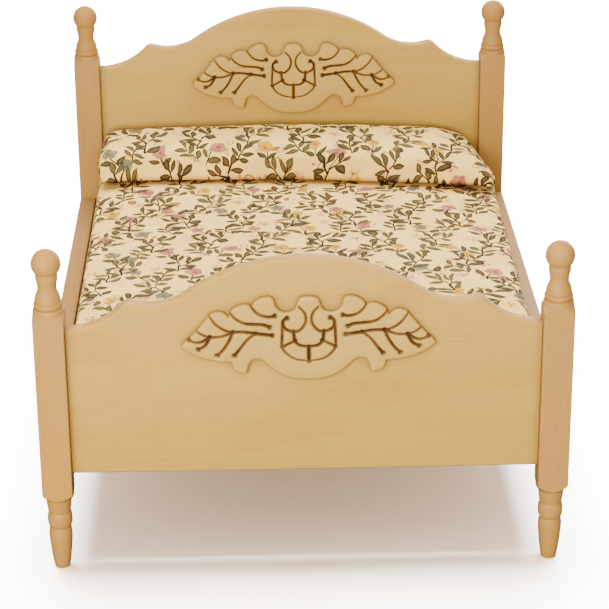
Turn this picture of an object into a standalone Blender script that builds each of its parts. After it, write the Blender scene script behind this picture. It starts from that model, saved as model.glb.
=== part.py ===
"""Miniature four poster bed at 1:12: turned posts, shaped boards with glued carvings, side rails,
battens and slats, and a loose printed mattress and bolster.

Metres, +Z up. The bed stands on z = 0 with its middle at x = y = 0 and its head towards +Y.
"""

from math import asin, atan, cos, pi, sin

import bmesh
import bpy
from mathutils import Vector

MM = 0.001
GAP = 0.3 * MM                      # between any two neighbouring pieces

# Frame, from post centre to post centre
POST_SPACING_X = 130.0 * MM
POST_SPACING_Y = 165.7 * MM
POST_SIDE = 8.0 * MM
POST_ARRIS = 0.45 * MM
TURNING_STEPS = 24

# Turned ends. Heights are of the ball's centre above the floor.
FOOT_BALL_Z = 86.84 * MM
HEAD_BALL_Z = 103.98 * MM
BALL_RADIUS = 3.8 * MM
SQUARE_RADIUS = 6.2 * MM            # wider than the square's corners, so the flats stay whole

# Boards
BOARD_THICKNESS = 4.0 * MM
BOARD_BOTTOM_Z = 28.3 * MM
BOARD_ARRIS = 0.8 * MM
FOOTBOARD_SHOULDER_Z = 69.1 * MM
HEADBOARD_SHOULDER_Z = 87.7 * MM
CREST_RISE = 18.8 * MM              # from the shoulder at the post to the crown
CROWN_RADIUS = 52.0 * MM
DIP_X = 39.0 * MM
DIP_RISE = 6.4 * MM
CUSP_X = 45.3 * MM
CUSP_ROUNDING = 1.6 * MM            # half the width of the cusp's rounded tip
SHOULDER_RADIUS = 20.4 * MM
TONGUE_THICKNESS = 2.0 * MM
TONGUE_LENGTH = 2.0 * MM
TONGUE_MARGIN = 3.0 * MM            # tongue stops this far inside the board's lower and upper edge

# Side rails and the base on them
RAIL_THICKNESS = 5.0 * MM
RAIL_TOP_Z = 44.6 * MM
TENON_LENGTH = 2.4 * MM
TENON_WIDTH = 2.0 * MM
TENON_MARGIN = 2.5 * MM
LEDGER_SIDE = 4.0 * MM
LEDGER_BOTTOM_Z = 29.0 * MM
SLAT_THICKNESS = 2.2 * MM
SLAT_WIDTH = 13.0 * MM
SLAT_COUNT = 6

# Mattress
MATTRESS_HALF_WIDTH = 63.2 * MM
MATTRESS_FOOT_Y = -80.4 * MM
MATTRESS_HEAD_Y = 78.5 * MM
MATTRESS_TOP_Z = 56.4 * MM
MATTRESS_CORNER = 8.0 * MM          # vertical corners, which pass the posts
MATTRESS_EDGE = 4.0 * MM            # rounded top edge
COVER_THICKNESS = 0.6 * MM
HEM_WIDTH = 6.0 * MM                # turned under the bottom edge
MATTRESS_BOARD_THICKNESS = 1.5 * MM

# Bolster
BOLSTER_HALF_WIDTH = 62.2 * MM
BOLSTER_FRONT_Y = 57.0 * MM
BOLSTER_TOP_Z = 67.4 * MM
BOLSTER_CORNER = 5.0 * MM
BOLSTER_EDGE = 3.2 * MM
BOLSTER_HEM = 4.0 * MM

# Carvings
CARVING_THICKNESS = 1.6 * MM
FOOTBOARD_CARVING_Z = 66.4 * MM     # height of the carving's middle
HEADBOARD_CARVING_Z = 84.6 * MM

WOOD = {"posts": (0.66, 0.45, 0.27), "boards": (0.67, 0.50, 0.28), "rails": (0.66, 0.47, 0.28),
        "carvings": (0.70, 0.53, 0.31), "base": (0.62, 0.47, 0.28)}


# ---------------------------------------------------------------- helpers

def empty_scene():
    for obj in list(bpy.data.objects):
        bpy.data.objects.remove(obj, do_unlink=True)


def new_collection(name):
    collection = bpy.data.collections.new(name)
    bpy.context.scene.collection.children.link(collection)
    return collection


def new_material(name, colour, roughness):
    material = bpy.data.materials.new(name)
    material.use_nodes = True
    shader = material.node_tree.nodes["Principled BSDF"]
    shader.inputs["Base Color"].default_value = (*colour, 1.0)
    shader.inputs["Roughness"].default_value = roughness
    shader.inputs["Metallic"].default_value = 0.0
    return material


def add_object(name, mesh, material=None):
    """A node in the bed's collection, or a hidden cutter when it has no material."""
    obj = bpy.data.objects.new(name, mesh)
    if material:
        bed.objects.link(obj)
        mesh.materials.append(material)
    else:
        cutters.objects.link(obj)
        obj.hide_render = True
        obj.display_type = "WIRE"
    return obj


def box_mesh(name, low, high, round_edges=None):
    """A box between two corners. round_edges is a list of (direction, radius, segments): 'vertical'
    rounds the four upright edges and 'top' the four upper ones."""
    builder = bmesh.new()
    bmesh.ops.create_cube(builder, size=1.0)
    middle = (Vector(low) + Vector(high)) / 2
    size = Vector(high) - Vector(low)
    for vert in builder.verts:
        vert.co = middle + Vector(a * b for a, b in zip(vert.co, size))
    for direction, radius, segments in round_edges or ():
        edges = [edge for edge in builder.edges if edge_runs(edge, direction, middle.z)]
        bmesh.ops.bevel(builder, geom=edges, offset=radius, segments=segments, profile=0.5,
                        affect="EDGES", clamp_overlap=True)
    mesh = bpy.data.meshes.new(name)
    builder.to_mesh(mesh)
    builder.free()
    return mesh


def edge_runs(edge, direction, middle_z):
    start, end = (vert.co for vert in edge.verts)
    upright = abs(start.z - end.z) > 1e-6
    if direction == "vertical":
        return upright
    return not upright and start.z > middle_z and len(edge.link_faces) == 2 and is_rim(edge)


def is_rim(edge):
    """True where a level top face meets a wall."""
    levels = [abs(face.normal.z) > 0.9 for face in edge.link_faces]
    return levels[0] != levels[1]


def box(name, low, high, material=None, arris=0.0, round_edges=None):
    obj = add_object(name, box_mesh(name, low, high, round_edges), material)
    if arris:
        add_bevel(obj, arris)
    return obj


def add_bevel(obj, width, segments=2):
    bevel = obj.modifiers.new("arris", "BEVEL")
    bevel.width = width
    bevel.segments = segments
    bevel.limit_method = "ANGLE"
    bevel.angle_limit = pi / 5


def cut(obj, cutter, operation="DIFFERENCE"):
    boolean = obj.modifiers.new(cutter.name, "BOOLEAN")
    boolean.operation = operation
    boolean.object = cutter
    boolean.solver = "EXACT"


def turned(name, profile, place):
    """A solid of revolution about the upright line through place. The profile runs from top to
    bottom as (radius, height)."""
    mesh = bpy.data.meshes.new(name)
    points = [(radius, 0.0, height) for radius, height in profile]
    mesh.from_pydata(points, [(i, i + 1) for i in range(len(points) - 1)], [])
    obj = add_object(name, mesh)
    obj.location = place
    screw = obj.modifiers.new("turn", "SCREW")
    screw.steps = TURNING_STEPS
    screw.render_steps = TURNING_STEPS
    screw.use_merge_vertices = True
    screw.merge_threshold = 0.01 * MM
    screw.use_smooth_shade = True
    return obj


def outline_mesh(name, points, thickness):
    """A flat board: the closed outline in X and Z, half its thickness each side of y = 0."""
    curve = bpy.data.curves.new(name, "CURVE")
    curve.dimensions = "2D"
    curve.fill_mode = "BOTH"
    curve.extrude = thickness / 2
    spline = curve.splines.new("POLY")
    spline.points.add(len(points) - 1)
    for spline_point, (x, z) in zip(spline.points, points):
        spline_point.co = (x, z, 0.0, 1.0)
    spline.use_cyclic_u = True
    holder = bpy.data.objects.new(name, curve)
    cutters.objects.link(holder)
    depsgraph = bpy.context.evaluated_depsgraph_get()
    mesh = bpy.data.meshes.new_from_object(holder.evaluated_get(depsgraph))
    bpy.data.objects.remove(holder)
    builder = bmesh.new()
    builder.from_mesh(mesh)
    bmesh.ops.remove_doubles(builder, verts=builder.verts, dist=0.01 * MM)
    for vert in builder.verts:
        vert.co = Vector((vert.co.x, -vert.co.z, vert.co.y))
    bmesh.ops.dissolve_limit(builder, angle_limit=0.001, verts=builder.verts, edges=builder.edges)
    bmesh.ops.recalc_face_normals(builder, faces=builder.faces)
    builder.to_mesh(mesh)
    builder.free()
    return mesh


def arc(centre, radius, start, end, count):
    """Points on a circle in the X, Z plane, from one angle to another, both ends included."""
    step = (end - start) / (count - 1)
    return [(centre[0] + radius * cos(start + step * i), centre[1] + radius * sin(start + step * i))
            for i in range(count)]


def mirrored(half):
    """A right half that starts and ends on x = 0, closed with its mirror image."""
    left = [(-x, z) for x, z in reversed(half) if x > 0.01 * MM]
    return half + left


# ---------------------------------------------------------------- posts

def finial_profile(ball_z):
    """From the ball's top down to the square: ball, collar, waist, bell, bead and ring."""
    collar = 2.8 * MM
    join = asin(collar / BALL_RADIUS)
    ball = [(BALL_RADIUS * sin(join_angle), ball_z + BALL_RADIUS * cos(join_angle))
            for join_angle in [(pi - join) * i / 9 for i in range(10)]]
    below = [(2.85, -3.4), (2.70, -4.7), (2.45, -6.3), (2.50, -7.0), (2.90, -7.9), (3.30, -9.2),
             (3.35, -10.1), (3.70, -10.5), (3.70, -11.4), (3.50, -11.8), (3.95, -12.3), (3.98, -13.0)]
    return ball + [(radius * MM, ball_z + drop * MM) for radius, drop in below]


def foot_profile():
    """From the square down to the floor: cone, bead between two grooves, and a tapering toe."""
    heights = [(3.50, 20.6), (3.35, 19.8), (3.05, 17.2), (2.90, 16.7), (3.20, 15.7), (3.30, 14.2),
               (3.15, 12.9), (2.80, 12.2), (3.00, 11.3), (3.10, 9.8), (2.95, 7.0), (2.50, 3.0),
               (2.15, 0.6), (1.80, 0.0), (0.0, 0.0)]
    return [(radius * MM, height * MM) for radius, height in heights]


def post_envelope(name, place, ball_z):
    """What the lathe leaves: both turned ends, and a middle wide enough to leave the square."""
    shoulder_top = ball_z - 13.3 * MM
    middle = [(SQUARE_RADIUS, shoulder_top - 2.2 * MM), (SQUARE_RADIUS, 23.4 * MM)]
    return turned(name, finial_profile(ball_z) + middle + foot_profile(), place)


def post(name, side, end, ball_z, shoulder_z, material):
    """side is -1 left or +1 right, end is -1 foot or +1 head."""
    x, y = side * POST_SPACING_X / 2, end * POST_SPACING_Y / 2
    half = POST_SIDE / 2
    top = ball_z + BALL_RADIUS + 1 * MM
    obj = box(name, (x - half, y - half, -1 * MM), (x + half, y + half, top), material, POST_ARRIS)
    cut(obj, post_envelope(name + "_lathe", (x, y, 0.0), ball_z), "INTERSECT")
    cut(obj, board_groove(name + "_groove", side, y, shoulder_z))
    cut(obj, rail_mortise(name + "_mortise", side, end))
    obj.data.shade_smooth()
    return obj


def board_groove(name, side, y, shoulder_z):
    """The groove in a post's inner face that takes the board's tongue."""
    inner = POST_SPACING_X / 2 - POST_SIDE / 2
    ends = sorted((side * (inner - 1 * MM), side * (inner + TONGUE_LENGTH + GAP)))
    half = TONGUE_THICKNESS / 2 + GAP
    low = (ends[0], y - half, BOARD_BOTTOM_Z + TONGUE_MARGIN - GAP)
    high = (ends[1], y + half, shoulder_z - TONGUE_MARGIN + GAP)
    return box(name, low, high)


def rail_mortise(name, side, end):
    """The mortise in a post's face towards the rail that takes the rail's tenon."""
    inner = POST_SPACING_Y / 2 - POST_SIDE / 2
    ends = sorted((end * (inner - 1 * MM), end * (inner + TENON_LENGTH + GAP)))
    middle = side * rail_middle_x()
    half = TENON_WIDTH / 2 + GAP
    low = (middle - half, ends[0], BOARD_BOTTOM_Z + TENON_MARGIN - GAP)
    high = (middle + half, ends[1], RAIL_TOP_Z - TENON_MARGIN + GAP)
    return box(name, low, high)


# ---------------------------------------------------------------- boards and carvings

def crest(shoulder_z, half_width):
    """Right half of a board's upper edge from the crown to the post: a crown arc, a hollow that
    rises again to a rounded cusp, and a hollow shoulder that runs out level at the post."""
    crown_z = shoulder_z + CREST_RISE
    dip_z = shoulder_z + DIP_RISE
    drop = CREST_RISE - DIP_RISE
    turn = 2 * atan(drop / DIP_X)
    dip_radius = DIP_X / sin(turn) - CROWN_RADIUS
    crown = arc((0.0, crown_z - CROWN_RADIUS), CROWN_RADIUS, pi / 2, pi / 2 - turn, 14)
    dip_end = asin((CUSP_X - CUSP_ROUNDING - DIP_X) / dip_radius)
    dip = arc((DIP_X, dip_z + dip_radius), dip_radius, -pi / 2 - turn, -pi / 2 + dip_end, 8)
    shoulder_x = POST_SPACING_X / 2 - POST_SIDE / 2
    start = -pi / 2 - asin((shoulder_x - CUSP_X - CUSP_ROUNDING) / SHOULDER_RADIUS)
    shoulder = arc((shoulder_x, shoulder_z + SHOULDER_RADIUS), SHOULDER_RADIUS, start, -pi / 2, 9)
    cusp_z = dip_z + (CUSP_X - DIP_X) ** 2 / (2 * dip_radius)
    cusp = rounded_corner(dip[-1], (CUSP_X, cusp_z), shoulder[0], 5)
    shoulder[-1] = (half_width, shoulder_z)
    return crown + dip[1:] + cusp[1:-1] + shoulder


def rounded_corner(start, corner, end, count):
    """Points on the parabola that leaves start towards corner and arrives at end from it."""
    points = []
    for i in range(count):
        t = i / (count - 1)
        weights = ((1 - t) ** 2, 2 * t * (1 - t), t ** 2)
        points.append(tuple(sum(w * p[axis] for w, p in zip(weights, (start, corner, end)))
                            for axis in (0, 1)))
    return points


def board(name, y, shoulder_z, material):
    half_width = POST_SPACING_X / 2 - POST_SIDE / 2 - GAP / 2
    upper = crest(shoulder_z, half_width)
    half = upper + [(half_width, BOARD_BOTTOM_Z), (0.0, BOARD_BOTTOM_Z)]
    obj = add_object(name, outline_mesh(name, mirrored(half), BOARD_THICKNESS), material)
    obj.location = (0.0, y, 0.0)
    add_bevel(obj, BOARD_ARRIS, 2)
    tongue_x = half_width + TONGUE_LENGTH
    low = (-tongue_x, y - TONGUE_THICKNESS / 2, BOARD_BOTTOM_Z + TONGUE_MARGIN)
    high = (tongue_x, y + TONGUE_THICKNESS / 2, shoulder_z - TONGUE_MARGIN)
    cut(obj, box(name + "_tongue", low, high), "UNION")
    return obj


def carving_half():
    """Right half of the carving's outline about its middle, from the top of the centre lobe round
    to the foot of the apron. Three leaf lobes, a pointed leaf tip, a bracket foot and the apron."""
    top = [(0.0, 11.9), (1.6, 11.6), (2.6, 10.7), (3.0, 9.3)]
    scoop = [(3.5, 8.3), (4.9, 7.6), (6.6, 7.6), (8.0, 8.6), (8.6, 10.2)]
    upper_lobe = [(9.1, 11.4), (10.8, 11.9), (12.8, 11.3), (14.4, 9.8)]
    middle_lobe = [(15.6, 9.9), (17.3, 9.7), (19.3, 8.5), (20.5, 6.6)]
    outer_lobe = [(21.8, 7.8), (23.6, 8.0), (25.4, 7.1), (28.0, 3.4), (30.0, 1.2), (32.5, -1.9)]
    underside = [(31.2, -3.2), (29.0, -4.5), (26.4, -5.6), (23.2, -6.3), (19.9, -6.5)]
    bracket = [(19.5, -8.2), (18.2, -9.6), (15.9, -10.0), (15.5, -7.8), (14.6, -6.4), (13.3, -5.9)]
    apron = [(11.8, -6.3), (10.0, -8.0), (7.7, -9.9), (5.0, -11.3), (2.6, -11.8), (0.0, -11.9)]
    outline = top + scoop + upper_lobe + middle_lobe + outer_lobe + underside + bracket + apron
    return [(x * MM, z * MM) for x, z in outline]


def carving(name, board_face_y, middle_z, material):
    mesh = outline_mesh(name, mirrored(carving_half()), CARVING_THICKNESS)
    obj = add_object(name, mesh, material)
    obj.location = (0.0, board_face_y - GAP - CARVING_THICKNESS / 2, middle_z)
    return obj


# ---------------------------------------------------------------- rails and base

def rail_middle_x():
    return POST_SPACING_X / 2 + POST_SIDE / 2 - RAIL_THICKNESS / 2


def side_rail(name, side, material):
    """A plain board, flush with the posts' outer faces, with a stub tenon at each end."""
    middle = side * rail_middle_x()
    half = RAIL_THICKNESS / 2
    reach = POST_SPACING_Y / 2 - POST_SIDE / 2 - GAP / 2
    low = (middle - half, -reach, BOARD_BOTTOM_Z)
    high = (middle + half, reach, RAIL_TOP_Z)
    obj = box(name, low, high, material, POST_ARRIS)
    tenon_low = (middle - TENON_WIDTH / 2, -reach - TENON_LENGTH, BOARD_BOTTOM_Z + TENON_MARGIN)
    tenon_high = (middle + TENON_WIDTH / 2, reach + TENON_LENGTH, RAIL_TOP_Z - TENON_MARGIN)
    cut(obj, box(name + "_tenon", tenon_low, tenon_high), "UNION")
    return obj


def ledger(name, side, material):
    outer = rail_middle_x() - RAIL_THICKNESS / 2 - GAP
    ends = sorted((side * outer, side * (outer - LEDGER_SIDE)))
    reach = POST_SPACING_Y / 2 - POST_SIDE
    low = (ends[0], -reach, LEDGER_BOTTOM_Z)
    high = (ends[1], reach, LEDGER_BOTTOM_Z + LEDGER_SIDE)
    return box(name, low, high, material, POST_ARRIS)


def slats(material):
    """Cross slats on the two ledgers, evenly spaced from the footboard to the headboard."""
    bottom = LEDGER_BOTTOM_Z + LEDGER_SIDE + GAP
    half_length = rail_middle_x() - RAIL_THICKNESS / 2 - GAP
    first = -POST_SPACING_Y / 2 + POST_SIDE + SLAT_WIDTH / 2
    pitch = -2 * first / (SLAT_COUNT - 1)
    for number in range(SLAT_COUNT):
        y = first + pitch * number
        low = (-half_length, y - SLAT_WIDTH / 2, bottom)
        high = (half_length, y + SLAT_WIDTH / 2, bottom + SLAT_THICKNESS)
        box(f"slat_{number + 1}", low, high, material, POST_ARRIS)
    return bottom + SLAT_THICKNESS


# ---------------------------------------------------------------- mattress and bolster

def padded_block(name, low, high, inset, corner, edge, material=None):
    """A block with rounded upright corners and a rounded top edge, drawn in by inset at the sides
    and top. Its bottom stays at low."""
    inner_low = (low[0] + inset, low[1] + inset, low[2])
    inner_high = (high[0] - inset, high[1] - inset, high[2] - inset)
    rounding = [("vertical", corner - inset, 5), ("top", edge - inset, 4)]
    return box(name, inner_low, inner_high, material, round_edges=rounding)


def cover(name, low, high, hem, corner, edge, material):
    """A fabric skin over a block: closed above, with a hem turned in below."""
    obj = padded_block(name, low, high, 0.0, corner, edge, material)
    hollow_low = (low[0], low[1], low[2] + COVER_THICKNESS)
    hollow = padded_block(name + "_hollow", hollow_low, high, COVER_THICKNESS, corner, edge)
    cut(obj, hollow)
    mouth_low = (low[0] + hem, low[1] + hem, low[2] - 1 * MM)
    mouth_high = (high[0] - hem, high[1] - hem, low[2] + 2 * COVER_THICKNESS)
    cut(obj, box(name + "_mouth", mouth_low, mouth_high))
    return obj


def mattress(bottom, fabric, foam, card):
    """Cover, stiff board at the bottom of it, and the foam block above the board."""
    low = (-MATTRESS_HALF_WIDTH, MATTRESS_FOOT_Y, bottom)
    high = (MATTRESS_HALF_WIDTH, MATTRESS_HEAD_Y, MATTRESS_TOP_Z)
    cover("mattress_cover", low, high, HEM_WIDTH, MATTRESS_CORNER, MATTRESS_EDGE, fabric)
    inset = COVER_THICKNESS + GAP
    board_bottom = bottom + inset
    board_top = board_bottom + MATTRESS_BOARD_THICKNESS
    board_low = (low[0] + inset, low[1] + inset, board_bottom)
    board_high = (high[0] - inset, high[1] - inset, board_top)
    rounding = [("vertical", MATTRESS_CORNER - inset, 5)]
    box("mattress_board", board_low, board_high, card, round_edges=rounding)
    core_low = (low[0], low[1], board_top + GAP)
    padded_block("mattress_core", core_low, high, inset, MATTRESS_CORNER, MATTRESS_EDGE, foam)


def bolster(fabric, wadding):
    bottom = MATTRESS_TOP_Z + GAP
    low = (-BOLSTER_HALF_WIDTH, BOLSTER_FRONT_Y, bottom)
    high = (BOLSTER_HALF_WIDTH, MATTRESS_HEAD_Y, BOLSTER_TOP_Z)
    cover("bolster_cover", low, high, BOLSTER_HEM, BOLSTER_CORNER, BOLSTER_EDGE, fabric)
    inset = COVER_THICKNESS + GAP
    core_low = (low[0], low[1], bottom + inset)
    padded_block("bolster_core", core_low, high, inset, BOLSTER_CORNER, BOLSTER_EDGE, wadding)


# ---------------------------------------------------------------- the bed

def build_bed():
    posts = new_material("post_wood", WOOD["posts"], 0.55)
    boards = new_material("board_wood", WOOD["boards"], 0.5)
    rails = new_material("rail_wood", WOOD["rails"], 0.55)
    carvings = new_material("carving_wood", WOOD["carvings"], 0.5)
    base = new_material("base_wood", WOOD["base"], 0.7)
    fabric = new_material("printed_cotton", (0.83, 0.74, 0.58), 0.95)
    foam = new_material("foam", (0.90, 0.86, 0.72), 0.95)
    card = new_material("card", (0.55, 0.45, 0.33), 0.9)

    ends = (("foot", -1, FOOT_BALL_Z, FOOTBOARD_SHOULDER_Z, FOOTBOARD_CARVING_Z),
            ("head", 1, HEAD_BALL_Z, HEADBOARD_SHOULDER_Z, HEADBOARD_CARVING_Z))
    for end_name, end, ball_z, shoulder_z, carving_z in ends:
        y = end * POST_SPACING_Y / 2
        board(end_name + "board_panel", y, shoulder_z, boards)
        carving(end_name + "board_carving", y - BOARD_THICKNESS / 2, carving_z, carvings)
        for side_name, side in (("left", -1), ("right", 1)):
            post(f"{end_name}_post_{side_name}", side, end, ball_z, shoulder_z, posts)
    for side_name, side in (("left", -1), ("right", 1)):
        side_rail("side_rail_" + side_name, side, rails)
        ledger("ledger_" + side_name, side, base)
    slat_top = slats(base)
    mattress(slat_top + GAP, fabric, foam, card)
    bolster(fabric, foam)


empty_scene()
bed = new_collection("miniature_four_poster_bed")
cutters = new_collection("cutters")
cutters.hide_render = True
build_bed()
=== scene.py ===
from math import asin, atan, cos, pi, radians, sin

import bmesh
import bpy
import numpy as np
from mathutils import Matrix, Vector
from mathutils.geometry import delaunay_2d_cdt


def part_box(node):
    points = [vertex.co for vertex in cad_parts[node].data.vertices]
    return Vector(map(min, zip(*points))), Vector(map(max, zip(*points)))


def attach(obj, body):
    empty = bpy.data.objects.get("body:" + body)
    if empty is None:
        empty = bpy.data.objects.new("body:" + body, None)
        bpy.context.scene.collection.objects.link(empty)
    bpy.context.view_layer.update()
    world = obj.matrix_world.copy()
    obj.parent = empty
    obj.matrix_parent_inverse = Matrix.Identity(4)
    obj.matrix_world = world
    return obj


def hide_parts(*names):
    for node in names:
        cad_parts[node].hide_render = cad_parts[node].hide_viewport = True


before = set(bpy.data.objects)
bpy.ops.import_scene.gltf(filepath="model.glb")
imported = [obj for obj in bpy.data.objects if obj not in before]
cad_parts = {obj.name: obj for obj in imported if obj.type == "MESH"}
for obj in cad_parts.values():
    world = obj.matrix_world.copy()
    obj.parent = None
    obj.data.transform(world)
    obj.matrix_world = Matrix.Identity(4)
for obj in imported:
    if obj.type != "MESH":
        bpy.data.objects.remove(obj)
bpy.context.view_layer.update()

MM = 0.001

# The photograph's camera, in metres and degrees
CAMERA_PLACE = (-0.0120, -0.5977, 0.2945)
CAMERA_YAW, CAMERA_PITCH, CAMERA_ROLL = 1.35, 23.14, -0.47
CAMERA_LENS = 130.05

# Studio light. The floor is brighter to the camera than to the bed.
WORLD_LIGHT = 0.28
WORLD_TINT = (1.0, 0.78, 0.60, 1.0)
FLOOR_SEEN, FLOOR_BOUNCE = 8.2, 0.3
FLOOR_HALF_WIDTH = 4.0

# Turned posts
TURNING_STEPS = 72
BALL_RADIUS = 3.8 * MM
SQUARE_RADIUS = 6.2 * MM
POST_ARRIS = 0.45 * MM

# Boards: the crest above the shoulder at the post
CREST_RISE = 18.8 * MM
CROWN_RADIUS = 52.0 * MM
DIP_X, DIP_RISE = 39.0 * MM, 6.4 * MM
CUSP_X, CUSP_ROUNDING = 45.3 * MM, 1.6 * MM
SHOULDER_RADIUS = 20.4 * MM
BOARD_ARRIS = 0.6 * MM
TONGUE_THICKNESS, TONGUE_MARGIN = 2.0 * MM, 3.0 * MM
TENON_THICKNESS, TENON_MARGIN = 2.0 * MM, 2.5 * MM
SLOT_REACH = 5.0 * MM               # a groove's cutter, from the post's middle to outside it
CLEARANCE = 0.3 * MM                # round a tongue or a tenon


# ================================================================ node graphs

class Wire:
    """A value or colour in a node tree, which can be added, scaled and compared like a number. The
    greater of two is a | b."""

    def __init__(self, tree, socket):
        self.tree = tree
        self.socket = socket

    def __add__(self, other):
        return self.maths("ADD", self, other)

    def __sub__(self, other):
        return self.maths("SUBTRACT", self, other)

    def __rsub__(self, other):
        return self.maths("SUBTRACT", other, self)

    def __mul__(self, other):
        return self.maths("MULTIPLY", self, other)

    def __truediv__(self, other):
        return self.maths("DIVIDE", self, other)

    def __or__(self, other):
        return self.maths("MAXIMUM", self, other)

    def __gt__(self, other):
        return self.maths("GREATER_THAN", self, other)

    def __abs__(self):
        return self.maths("ABSOLUTE", self)

    __radd__, __rmul__ = __add__, __mul__

    def maths(self, operation, *values):
        node = self.tree.nodes.new("ShaderNodeMath")
        node.operation = operation
        for index, value in enumerate(values):
            plug(self.tree, node.inputs[index], value)
        return Wire(self.tree, node.outputs[0])

    def call(self, operation, *others):
        return self.maths(operation, self, *others)


def plug(tree, socket, value):
    """Links a wire into a socket, or sets the socket's own number or colour."""
    if isinstance(value, Wire):
        tree.links.new(value.socket, socket)
    elif isinstance(value, (tuple, list)) and len(socket.default_value) == 4 and len(value) == 3:
        socket.default_value = (*value, 1.0)
    else:
        socket.default_value = value


def node(tree, kind, output=0, settings=None, **inputs):
    """Adds a node, sets its properties and inputs by name, and returns one of its outputs."""
    made = tree.nodes.new("ShaderNode" + kind)
    for name, value in (settings or {}).items():
        setattr(made, name, value)
    for name, value in inputs.items():
        plug(tree, made.inputs[name.replace("_", " ")], value)
    return Wire(tree, made.outputs[output])


def position(tree):
    """A point's place in metres in the frame of the bed, which moves with its piece."""
    return node(tree, "TexCoord", output="Object")


def parts_of(vector):
    made = vector.tree.nodes.new("ShaderNodeSeparateXYZ")
    plug(vector.tree, made.inputs[0], vector)
    return [Wire(vector.tree, output) for output in made.outputs]


def joined(tree, x, y, z=0.0):
    return node(tree, "CombineXYZ", X=x, Y=y, Z=z)


def stretched(vector, scale, offset=(0.0, 0.0, 0.0)):
    return node(vector.tree, "Mapping", Vector=vector, Scale=scale, Location=offset)


def noise(vector, scale, detail, roughness=0.5, distortion=0.0):
    return node(vector.tree, "TexNoise", Vector=vector, Scale=scale, Detail=detail,
                Roughness=roughness, Distortion=distortion)


def ramp(value, low, high, start=0.0, end=1.0):
    """start below low, end above high, and a smooth step between them."""
    made = value.tree.nodes.new("ShaderNodeMapRange")
    made.interpolation_type = "SMOOTHSTEP"
    for socket, number in zip(made.inputs, (value, low, high, start, end)):
        plug(value.tree, socket, number)
    return Wire(value.tree, made.outputs[0])


def mixed(tree, share, first, second, blend="MIX"):
    made = tree.nodes.new("ShaderNodeMix")
    made.data_type = "RGBA"
    made.blend_type = blend
    plug(tree, made.inputs[0], share)
    plug(tree, made.inputs[6], first)
    plug(tree, made.inputs[7], second)
    return Wire(tree, made.outputs[2])


def new_material(name):
    """A material with its tree and its Principled shader."""
    material = bpy.data.materials.new(name)
    material.use_nodes = True
    return material, material.node_tree, material.node_tree.nodes["Principled BSDF"]


def add_bump(tree, shader, height, distance, strength):
    """Adds relief to the shader, over any that it already has."""
    bump = tree.nodes.new("ShaderNodeBump")
    bump.inputs["Strength"].default_value = strength
    bump.inputs["Distance"].default_value = distance
    plug(tree, bump.inputs["Height"], height)
    if shader.inputs["Normal"].is_linked:
        tree.links.new(shader.inputs["Normal"].links[0].from_socket, bump.inputs["Normal"])
    tree.links.new(bump.outputs[0], shader.inputs["Normal"])


# ================================================================ wood

# Scene-linear colours, chosen for how the render's display transform shows them
WARM, DARK, PORE = (0.40, 0.190, 0.020), (0.25, 0.120, 0.022), (0.138, 0.066, 0.012)
# Painted shade in hollows and beside touching parts: its colour, and how far it reaches
CORNER_SHADE, CORNER_SHADE_REACH = (0.50, 0.44, 0.35), 3.0 * MM
# Painted top light: the paler colour of faces that look up, and its streaks
TOP_LIGHT, TOP_LIGHT_STREAK = (0.46, 0.265, 0.066), (0.36, 0.180, 0.050)
SHEEN, SANDED_SHEEN = 0.35, 0.08    # shine of the varnish, and of faces that look up
PALE_POST, PALE_BOARD = (0.37, 0.182, 0.037), (0.43, 0.256, 0.034)
PALE_CARVING, PALE_RAIL, PALE_BASE = (0.44, 0.270, 0.050), (0.32, 0.170, 0.058), (0.40, 0.240, 0.050)
SCORCHED, CHARRED = (0.120, 0.054, 0.018), (0.048, 0.021, 0.009)


def grain_space(tree, axis, seed):
    """Coordinates whose first axis runs along the grain, and whose other two cross it."""
    x, y, z = parts_of(position(tree))
    along, across, depth = {"x": (x, z, y), "y": (y, x, z), "z": (z, x, y)}[axis]
    return joined(tree, along + seed, across + seed * 0.37, depth)


def painted_corner_shade(tree, colour, alone):
    """Painted shade: darkens the wood by how closed in each point is, in its own hollows and, unless
    it is treated alone, beside whatever touches it."""
    openness = node(tree, "AmbientOcclusion", output="AO", Distance=CORNER_SHADE_REACH,
                    settings={"samples": 8, "only_local": alone})
    return mixed(tree, ramp(openness, 0.60, 1.00, 0.7, 0.0), colour, CORNER_SHADE, "MULTIPLY")


def facing_up(tree):
    """1 on faces that look up, 0 on upright ones."""
    upward = parts_of(node(tree, "TexCoord", output="Normal"))[2]
    return ramp(upward, 0.55, 0.90)


def painted_top_light(tree, colour, grain):
    """Painted top light: pales the faces that look up, with streaks along the grain."""
    streaks = noise(stretched(grain, (30, 1400, 1400), (5, 1, 2)), 1.0, 2.0)
    top_light_colour = mixed(tree, ramp(streaks, 0.35, 0.65), TOP_LIGHT, TOP_LIGHT_STREAK)
    return mixed(tree, facing_up(tree) * 0.85, colour, top_light_colour)


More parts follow.
